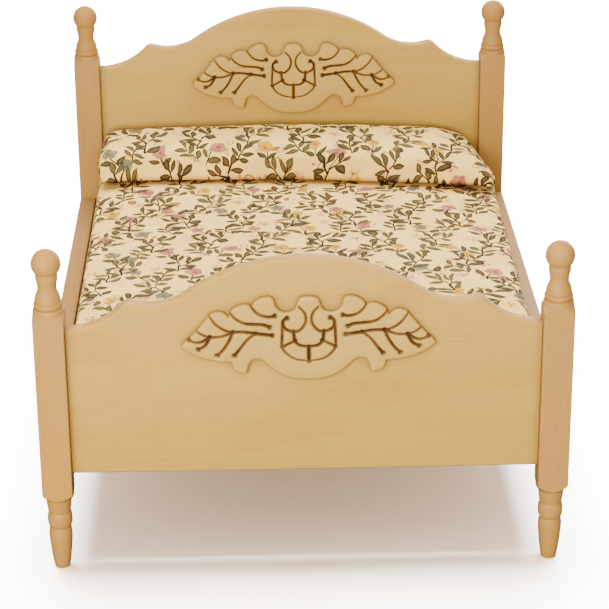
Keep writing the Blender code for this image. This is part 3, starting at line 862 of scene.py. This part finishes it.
def print_blossom(colour, x, y, kind, turn, radius):
    """A mottled flower with a small dark heart: pink, yellow, slate blue or, above 0.66, none."""
    tree = x.tree
    petals, distance = blossom(x, y, radius, 0.11, turn * 6.28)
    petals = petals + ramp(kind, 0.66, 0.67, 0.0, -9.0)
    ink = mixed(tree, ramp(kind, 0.27, 0.28), PINK, YELLOW)
    ink = mixed(tree, ramp(kind, 0.50, 0.51), ink, SLATE)
    mottling = ramp(noise(joined(tree, x, y, turn), 1.0, 2.0), 0.35, 0.65, 0.80, 1.0)
    colour = mixed(tree, ramp(petals, -0.15, 0.2) * mottling, colour, ink)
    edge = ramp(abs(petals), 0.05, 0.20, 0.45, 0.0)
    colour = mixed(tree, edge, colour, RUST)
    return mixed(tree, ramp(distance, 0.3, 0.7, 0.7, 0.0), colour, RUST)


def print_faded_flowers(colour, u, v):
    """Pale pink and yellow flowers under the sprigs, without outlines."""
    tree = u.tree
    x, y, randoms = cells(u + 3.0, v + 5.0, 8.4, 9.3, 4.0, 3.5, 1.5)
    kind, turn = randoms[0], randoms[2]
    petals = blossom(x, y, 2.1, 0.28, turn * 6.28)[0]
    ink = mixed(tree, ramp(kind, 0.45, 0.46), PINK, FADED_PINK)
    ink = mixed(tree, ramp(kind, 0.72, 0.73), ink, YELLOW)
    broken = ramp(noise(joined(tree, u, v), 1.1, 2.0), 0.36, 0.58, 0.25, 0.9)
    return mixed(tree, ramp(petals, -0.1, 0.5) * broken, colour, ink)


def print_buds(colour, u, v):
    """Outlined ochre buds in half of the cells, and a small slate dot beside each."""
    x, y, randoms = cells(u + 8.0, v + 3.0, 10.4, 9.1, 5.0, 3.5, 3.1)
    kind, tint = randoms[:2]
    bud = leaf(y + 1.3, x, 2.7, 0.80) + ramp(kind, 0.50, 0.51, 0.0, -9.0)
    colour = inked(colour, bud, RUST)
    colour = inked(colour, bud - 0.28, mixed(u.tree, ramp(tint, 0.45, 0.55), OCHRE, CREAM))
    dot = 0.36 - ((x - 2.2) * (x - 2.2) + y * y).call("SQRT")
    return inked(colour, dot, SLATE)


def printed_cotton(name):
    """Cream cotton printed with leafy sprigs, small flowers and buds, over a plain weave."""
    material, tree, shader = new_material(name)
    cloth = node(tree, "Attribute", output="Vector", settings={"attribute_name": "cloth"})
    u, v = parts_of(cloth)[:2]
    sway = node(tree, "TexNoise", output="Color", Vector=cloth, Scale=0.11, Detail=1.0)
    sway_u, sway_v = parts_of(sway)[:2]
    u = u / PRINT_SCALE + (sway_u - 0.5) * 5.0
    v = v / PRINT_SCALE + (sway_v - 0.5) * 5.0
    shade = ramp(noise(cloth, 0.06, 3.0), 0.35, 0.65, 0.0, 0.5)
    colour = mixed(tree, shade, CREAM, CREAM_SHADE)
    colour = print_faded_flowers(colour, u, v)
    colour = print_buds(colour, u, v)
    colour = print_straight_sprigs(colour, u, v)
    colour = print_flower_sprigs(colour, u, v)
    colour = print_forked_sprigs(colour, u, v)
    # Painted shade: the cloth is darker where it is closed in, at creases and against the wood
    openness = node(tree, "AmbientOcclusion", output="AO", settings={"samples": 8},
                    Distance=CREASE_SHADE_REACH)
    colour = mixed(tree, ramp(openness, 0.30, 0.85, 0.8, 0.0), colour, CREASE_SHADE, "MULTIPLY")
    plug(tree, shader.inputs["Base Color"], colour)
    shader.inputs["Roughness"].default_value = 0.95
    shader.inputs["Specular IOR Level"].default_value = 0.08
    weave(tree, shader, cloth)
    return material


def weave(tree, shader, cloth):
    """Plain weave, threads along and across, over soft creases."""
    u, v = parts_of(cloth)[:2]
    pitch = 2 * pi / THREAD_SPACING
    over = (u * pitch).call("SINE") * (v * pitch).call("SINE")
    creases = noise(cloth, 0.12, 3.0, 0.5)
    add_bump(tree, shader, creases, 0.0012, 0.5)
    add_bump(tree, shader, over, 0.00003, 0.5)


# ================================================================ foam and card

# Painted shade: the foam's hollows are darker than its cell walls
FOAM_HOLLOW_SHADE, FOAM_WALL = (0.62, 0.55, 0.36), (0.86, 0.80, 0.62)
CARD, CARD_PALE, CARD_FLECK = (0.40, 0.31, 0.21), (0.50, 0.41, 0.29), (0.22, 0.17, 0.12)


def foam_material(name):
    material, tree, shader = new_material(name)
    cells_of_foam = noise(position(tree), 2600.0, 2.0)
    # painted shade: darker where the bump is low
    shade = ramp(cells_of_foam, 0.3, 0.7)
    plug(tree, shader.inputs["Base Color"], mixed(tree, shade, FOAM_HOLLOW_SHADE, FOAM_WALL))
    shader.inputs["Roughness"].default_value = 0.95
    add_bump(tree, shader, cells_of_foam, 0.0002, 0.8)
    return material


def card_material(name):
    material, tree, shader = new_material(name)
    place = position(tree)
    fibres = noise(stretched(place, (900, 300, 900)), 1.0, 4.0, 0.7)
    flecks = ramp(noise(place, 2200.0, 1.0), 0.64, 0.70)
    colour = mixed(tree, ramp(fibres, 0.3, 0.7), CARD, CARD_PALE)
    plug(tree, shader.inputs["Base Color"], mixed(tree, flecks * 0.6, colour, CARD_FLECK))
    shader.inputs["Roughness"].default_value = 0.9
    add_bump(tree, shader, fibres, 0.00005, 0.5)
    return material


# ================================================================ mattress and bolster

SIM_SCALE = 10.0                    # cloth solves better at this size than at the bed's own
COVER_THICKNESS = 0.5 * MM
FILLING_DEPTH = 0.7 * MM            # how far the filling lies inside the cover's outer face
SOFT_ARRIS = 2.0 * MM
MATTRESS_VOXEL, BOLSTER_VOXEL = 2.0 * MM, 1.2 * MM
MATTRESS_HEM, BOLSTER_HEM = 6.0 * MM, 4.0 * MM
MATTRESS_HALF_WIDTH = 63.8 * MM
MATTRESS_BULGE, BULGE_REACH = 3.4 * MM, 12.0 * MM       # over the right rail, at the head
MATTRESS_CORNER = 8.0 * MM          # its upright corners, which pass the posts
MATTRESS_CROWN = 1.5 * MM
MATTRESS_HEAD_REACH = 1.6 * MM      # under the bolster, beyond its CAD solid
MATTRESS_SWELLING, MATTRESS_INSET = 0.9 * MM, 0.7 * MM  # how far it blows up, and starts inside
BOLSTER_LEFT, BOLSTER_RIGHT, BOLSTER_HEIGHT = -62.6 * MM, 65.6 * MM, 10.4 * MM
BOLSTER_FRONT_CORNER, BOLSTER_BACK_CORNER = 3.0 * MM, 12.0 * MM
BOLSTER_FRONT_ROUNDING = 6.0 * MM
BOLSTER_BACK_RISE = 1.8 * MM
BOLSTER_SWELLING = 0.8 * MM         # how far it blows up, and starts inside
BOLSTER_TAPER = 6.5 * MM            # its right end is shorter at the back than at the front
BOLSTER_PRINT_OFFSET = (4.0, 9.0)   # millimetres, so that its print isn't the mattress's
FOLD_DEPTH, FOLD_WIDTH = 0.40 * MM, 0.55 * MM
SIM_FRAMES = 20
CLOTH = {"quality": 6, "mass": 0.3, "use_pressure": True, "uniform_pressure_force": 4.0,
         "tension_stiffness": 40.0, "compression_stiffness": 20.0, "bending_stiffness": 2.0}


def vertex_values(piece, name):
    values = np.zeros(len(piece.data.vertices) * 3)
    piece.data.vertices.foreach_get(name, values)
    return values.reshape(-1, 3)


def coordinates(piece):
    return vertex_values(piece, "co")


def set_coordinates(piece, places):
    piece.data.vertices.foreach_set("co", np.ascontiguousarray(places, dtype=float).ravel())
    piece.data.update()


def rising(values, start, width):
    """0 up to start, and then an even rise to 1 over width."""
    return np.clip((values - start) / width, 0, 1)


def stuffed_block(name, low, high, voxel, cap):
    """A soft-cornered block with an even net of faces, blown up as stuffed cloth is."""
    piece = box_object(name, low, high)
    add_bevel(piece, SOFT_ARRIS, 3)
    remesh = piece.modifiers.new("skin", "REMESH")
    remesh.mode = "VOXEL"
    remesh.voxel_size = voxel
    baked(piece)
    inflate(piece, cap)
    finer = piece.modifiers.new("finer", "SUBSURF")
    finer.levels = 1
    finer.render_levels = 1
    return baked(piece)


def inflate(piece, cap):
    """Simulates cloth under pressure. No point moves further than cap."""
    start = coordinates(piece)
    set_coordinates(piece, start * SIM_SCALE)
    cloth = piece.modifiers.new("stuffing", "CLOTH")
    for name, value in CLOTH.items():
        setattr(cloth.settings, name, value)
    cloth.settings.effector_weights.gravity = 0.0
    for number in range(1, SIM_FRAMES + 1):
        bpy.context.scene.frame_set(number)
    baked(piece)
    bpy.context.scene.frame_set(1)
    moved = coordinates(piece) / SIM_SCALE - start
    length = np.linalg.norm(moved, axis=1)
    moved *= np.minimum(1.0, cap / np.maximum(length, 1e-9))[:, None]
    set_coordinates(piece, start + moved)


def kept_in_plan(places, low, high, corner):
    """Pulls points that lie outside a rounded rectangle, seen from above, back onto it. corner may
    differ from point to point."""
    corner = np.broadcast_to(corner, len(places))[:, None]
    middle = (np.array(low[:2]) + np.array(high[:2])) / 2
    half = (np.array(high[:2]) - np.array(low[:2])) / 2
    offset = places[:, :2] - middle
    beyond = np.abs(offset) - (half - corner)
    outward = np.maximum(beyond, 0.0)
    reach = np.linalg.norm(outward, axis=1)[:, None]
    shrink = np.where(reach > corner, corner / np.maximum(reach, 1e-9), 1.0)
    limited = np.where(beyond > 0, half - corner + outward * shrink, np.abs(offset))
    places[:, :2] = middle + np.sign(offset) * limited


def mark_cloth(piece, across, along, down, offset):
    """Stores, for each point, where it lies on the flat cloth before that was wrapped round the
    block, in millimetres: its places across and along the top, moved outwards by its distance down
    whichever side it is on. offset moves the print."""
    normals = np.abs(vertex_values(piece, "normal"))
    on_end = normals[:, 0] > normals[:, 1]
    flat = np.zeros((len(normals), 3))
    flat[:, 0] = across + np.sign(across) * np.where(on_end, down, 0.0)
    flat[:, 1] = along + np.sign(along) * np.where(on_end, 0.0, down)
    layer = piece.data.attributes.new("cloth", "FLOAT_VECTOR", "POINT")
    stored = flat / MM + (*offset, 0.0)
    layer.data.foreach_set("vector", stored.astype(np.float32).ravel())


def hollowed(piece, low, high, hem):
    """Leaves a skin of cloth, open underneath but for a hem all round."""
    shell = piece.modifiers.new("cloth", "SOLIDIFY")
    shell.thickness = COVER_THICKNESS
    shell.offset = -1.0
    mouth = box_object("mouth", (low.x + hem, low.y + hem, low.z - MM),
                       (high.x - hem, high.y - hem, low.z + 1.5 * MM))
    cut(piece, mouth)
    return baked(piece, mouth)


def filling(cover, name, floor_z):
    """A block of foam that fills the cover, flat below at floor_z."""
    block = new_object(name, cover.data.copy())
    places = coordinates(block) - vertex_values(block, "normal") * FILLING_DEPTH
    places[:, 2] = np.maximum(places[:, 2], floor_z)
    set_coordinates(block, places)
    return block


def finish_soft(piece, node_name, body, material):
    cover_with(piece, material, 70)
    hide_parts(node_name)
    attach(piece, body)


def mattress(cotton, foam):
    """The printed cover over its foam block: crowned, with soft edges, flat below."""
    low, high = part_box("mattress_cover")
    crown_z = high.z + 0.2 * MM
    top = crown_z - MATTRESS_CROWN - MATTRESS_SWELLING
    cover = stuffed_block("mattress_printed_cover",
                          (MATTRESS_INSET - MATTRESS_HALF_WIDTH, low.y + MATTRESS_INSET,
                           low.z - 0.5 * MM),
                          (MATTRESS_HALF_WIDTH - MATTRESS_INSET, high.y + 0.5 * MM, top),
                          MATTRESS_VOXEL, MATTRESS_SWELLING)
    places = coordinates(cover)
    middle_y, half_length = (low.y + high.y) / 2, (high.y - low.y) / 2
    across = np.clip(1 - (places[:, 0] / MATTRESS_HALF_WIDTH) ** 2, 0, 1)
    along = np.clip(1 - ((places[:, 1] - middle_y) / half_length) ** 2, 0, 1)
    upper = rising(places[:, 2], low.z, top - low.z)
    places[:, 2] += MATTRESS_CROWN * upper ** 2 * np.sqrt(across * along)
    places[:, 2] = np.clip(places[:, 2], low.z, crown_z)
    kept_in_plan(places, (-MATTRESS_HALF_WIDTH, low.y),
                 (MATTRESS_HALF_WIDTH, high.y + MATTRESS_HEAD_REACH), MATTRESS_CORNER)
    above_rail = rising(places[:, 2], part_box("side_rail_right")[1].z + 1.0 * MM, 5 * MM)
    towards_head = rising(places[:, 1], low.y, high.y - low.y)
    right_edge = rising(places[:, 0], MATTRESS_HALF_WIDTH - BULGE_REACH, BULGE_REACH)
    short_of_post = rising(high.y - places[:, 1], 0.0, 9 * MM)
    places[:, 0] += (MATTRESS_BULGE * above_rail * np.sqrt(towards_head) * right_edge ** 2
                     * short_of_post)
    set_coordinates(cover, places)
    board_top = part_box("mattress_board")[1].z
    block = filling(cover, "mattress_foam", board_top + 0.2 * MM)
    hollowed(cover, low, high, MATTRESS_HEM)
    places = coordinates(cover)
    mark_cloth(cover, places[:, 0], places[:, 1], np.maximum(top - places[:, 2], 0.0), (0.0, 0.0))
    finish_soft(cover, "mattress_cover", "mattress", cotton)
    finish_soft(block, "mattress_core", "mattress", foam)


def bolster_crest(x):
    """The bolster's height along its length, next to its height in the middle. The left end is
    steep and the right end falls away gently."""
    places = np.array((-62.6, -61.8, -60.5, -58.5, -55.0, -48.0, -30.0, 0.0, 20.0, 39.0, 46.0, 51.0,
                       56.0, 60.0, 62.0, 64.0, 65.6)) * MM
    heights = (0.44, 0.62, 0.76, 0.85, 0.88, 0.92, 0.96, 1.0, 0.97, 0.90, 0.87, 0.83, 0.74, 0.63,
               0.54, 0.40, 0.24)
    return np.interp(x, places, heights)


def bolster_front(x, front):
    """Where its front edge runs: it lies a little askew, its right end nearer the foot."""
    return front - np.interp(x, np.array((-62.6, -45.0, 0.0, 42.0, 58.0, 65.6)) * MM,
                             np.array((0.3, -1.4, -0.3, 6.2, 9.2, 12.0)) * MM)


def bolster_height(x, behind_front):
    """How high its top lies above its foot. The front edge is round, and the top rises a little to
    the back."""
    t = rising(behind_front, 0.0, BOLSTER_FRONT_ROUNDING)
    edge = 0.52 + 0.48 * np.sqrt(1 - (1 - t) ** 2)
    rise = BOLSTER_BACK_RISE * rising(behind_front, 0.0, 20 * MM)
    return (BOLSTER_HEIGHT + rise) * bolster_crest(x) * edge


def fold_lines(places, low, back):
    """How deep each point is drawn in by the folds where the cloth is tucked in at the ends: two
    lines on each end, from its lower corners up to the middle of its top."""
    depth = np.zeros(len(places))
    height = (places[:, 2] - low.z) / BOLSTER_HEIGHT
    width = back - low.y
    for start, lean in ((low.y + 0.10 * width, 0.40), (low.y + 0.92 * width, -0.36)):
        line_y = start + lean * width * height
        distance = np.abs(places[:, 1] - line_y)
        depth = np.maximum(depth, np.exp(-(distance / FOLD_WIDTH) ** 2))
    near_end = rising(np.abs(places[:, 0]), 50 * MM, 6 * MM)
    return depth * near_end * FOLD_DEPTH


def bolster(cotton, foam):
    """The printed cover over its wadding, lying against the headboard."""
    low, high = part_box("bolster_cover")
    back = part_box("headboard_panel")[0].y - 0.25 * MM
    cover = stuffed_block("bolster_printed_cover",
                          (BOLSTER_LEFT + BOLSTER_SWELLING, low.y + BOLSTER_SWELLING,
                           low.z - 0.4 * MM),
                          (BOLSTER_RIGHT - BOLSTER_SWELLING, back, low.z + BOLSTER_HEIGHT),
                          BOLSTER_VOXEL, BOLSTER_SWELLING)
    places = coordinates(cover)
    height = bolster_height(places[:, 0], places[:, 1] - low.y)
    places[:, 2] = low.z + (places[:, 2] - low.z) * height / BOLSTER_HEIGHT
    places[:, 2] = np.maximum(places[:, 2], low.z)
    places[:, 0] -= np.sign(places[:, 0]) * fold_lines(places, low, back)
    corner = np.where(places[:, 1] > (low.y + back) / 2, BOLSTER_BACK_CORNER, BOLSTER_FRONT_CORNER)
    kept_in_plan(places, (BOLSTER_LEFT, low.y), (BOLSTER_RIGHT, back), corner)
    towards_back = (places[:, 1] - low.y) / (back - low.y)
    places[:, 0] -= BOLSTER_TAPER * rising(places[:, 0], 40 * MM, 25 * MM) * towards_back
    front = bolster_front(places[:, 0], low.y)
    places[:, 1] = back - (back - places[:, 1]) * (back - front) / (back - low.y)
    set_coordinates(cover, places)
    block = filling(cover, "bolster_wadding", low.z + 0.9 * MM)
    hollowed(cover, low, high, BOLSTER_HEM)
    x, y, z = coordinates(cover).T
    run = np.linspace(BOLSTER_LEFT, BOLSTER_RIGHT, 300)
    lengths = np.hypot(np.diff(run), np.diff(bolster_crest(run) * BOLSTER_HEIGHT))
    along_crest = np.concatenate([[0.0], np.cumsum(lengths)])
    across = np.interp(x, run, along_crest) - np.interp(0.0, run, along_crest)
    down = np.maximum(low.z + bolster_crest(x) * BOLSTER_HEIGHT - z, 0.0)
    mark_cloth(cover, across, y - (low.y + back) / 2, down, BOLSTER_PRINT_OFFSET)
    finish_soft(cover, "bolster_cover", "bolster", cotton)
    finish_soft(block, "bolster_core", "bolster", foam)


# ================================================================ materials of the CAD nodes

def dress(node_name, material):
    cover_with(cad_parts[node_name], material, 35)


# ================================================================ stage

def make_camera():
    camera = bpy.data.objects.new("camera", bpy.data.cameras.new("camera"))
    bpy.context.scene.collection.objects.link(camera)
    camera.data.lens = CAMERA_LENS
    camera.data.clip_start = 0.01
    turn = (Matrix.Rotation(-radians(CAMERA_YAW), 4, "Z")
            @ Matrix.Rotation(radians(90 - CAMERA_PITCH), 4, "X")
            @ Matrix.Rotation(radians(CAMERA_ROLL), 4, "Z"))
    camera.matrix_world = Matrix.Translation(CAMERA_PLACE) @ turn
    bpy.context.scene.camera = camera


def area_light(name, place, aim, size, power, colour=(1.0, 1.0, 1.0)):
    light = bpy.data.lights.new(name, "AREA")
    light.shape = "RECTANGLE"
    light.size, light.size_y = size
    light.energy = power
    light.color = colour
    holder = bpy.data.objects.new(name, light)
    bpy.context.scene.collection.objects.link(holder)
    holder.location = place
    holder.rotation_euler = (Vector(aim) - Vector(place)).to_track_quat("-Z", "Y").to_euler()
    return holder


def keep_off(light, piece):
    """Lets a light pass by one object, so that the shadow on the paper comes from above alone."""
    spared = bpy.data.collections.new("not_lit_by_" + light.name)
    spared.objects.link(piece)
    light.light_linking.receiver_collection = spared
    spared.collection_objects[0].light_linking.link_state = "EXCLUDE"


def floor_material():
    """White studio paper. It is seen brighter than it lights the bed, as the overexposed background
    of a catalogue picture is."""
    material, tree = new_material("studio_paper")[:2]
    seen = node(tree, "LightPath", output="Is Camera Ray")
    tone = seen * (FLOOR_SEEN - FLOOR_BOUNCE) + FLOOR_BOUNCE
    paper = node(tree, "BsdfDiffuse", Color=joined(tree, tone, tone, tone))
    tree.links.new(paper.socket, tree.nodes["Material Output"].inputs["Surface"])
    return material


def make_stage():
    mesh = bpy.data.meshes.new("floor")
    corners = [(x * FLOOR_HALF_WIDTH, y * FLOOR_HALF_WIDTH, 0.0)
               for x, y in ((-1, -1), (1, -1), (1, 1), (-1, 1))]
    mesh.from_pydata(corners, [], [(0, 1, 2, 3)])
    floor = new_object("floor", mesh)
    floor.data.materials.append(floor_material())
    world = bpy.data.worlds.new("studio")
    world.use_nodes = True
    background = world.node_tree.nodes["Background"]
    background.inputs["Color"].default_value = WORLD_TINT
    background.inputs["Strength"].default_value = WORLD_LIGHT
    bpy.context.scene.world = world
    middle = (0.0, 0.0, 0.05)
    area_light("overhead", (0.0, 0.34, 1.1), middle, (1.0, 0.9), 32)
    front = area_light("front", (-0.1, -0.5, 0.22), middle, (0.45, 0.35), 7.8, (1.0, 0.98, 0.85))
    keep_off(front, floor)
    keep_off(area_light("back", (0.35, 1.1, 0.45), middle, (0.9, 0.6), 20), floor)


# ================================================================ the bed

make_camera()
make_stage()

# Each wood gets painted shade in its hollows; one treated alone gets none beside its neighbours
post_wood = wood("post_wood", "z", PALE_POST, 0.3, blotches=0.8, alone=True)
# painted top light on the board's upper faces
board_wood = wood("board_wood", "x", PALE_BOARD, 0.0, blotches=0.7, top_lit=True)
rail_wood = wood("rail_wood", "y", PALE_RAIL, 0.7, alone=True)
base_wood = wood("base_wood", "x", PALE_BASE, 0.9, alone=True)
carving_wood = carved_wood("carving_wood")

for side_name, side in (("left", -1), ("right", 1)):
    post("foot_post_" + side_name, side, -1, post_wood)
    post("head_post_" + side_name, side, 1, post_wood)
leaf_net = carving_net()
for end_name in ("foot", "head"):
    board(end_name + "board_panel", board_wood)
    carving(end_name, leaf_net, carving_wood)
cotton = printed_cotton("printed_cotton")
foam = foam_material("foam")
mattress(cotton, foam)
bolster(cotton, foam)
dress("mattress_board", card_material("card"))
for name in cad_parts:
    if "rail" in name:
        dress(name, rail_wood)
    if "slat" in name or "ledger" in name:
        dress(name, base_wood)
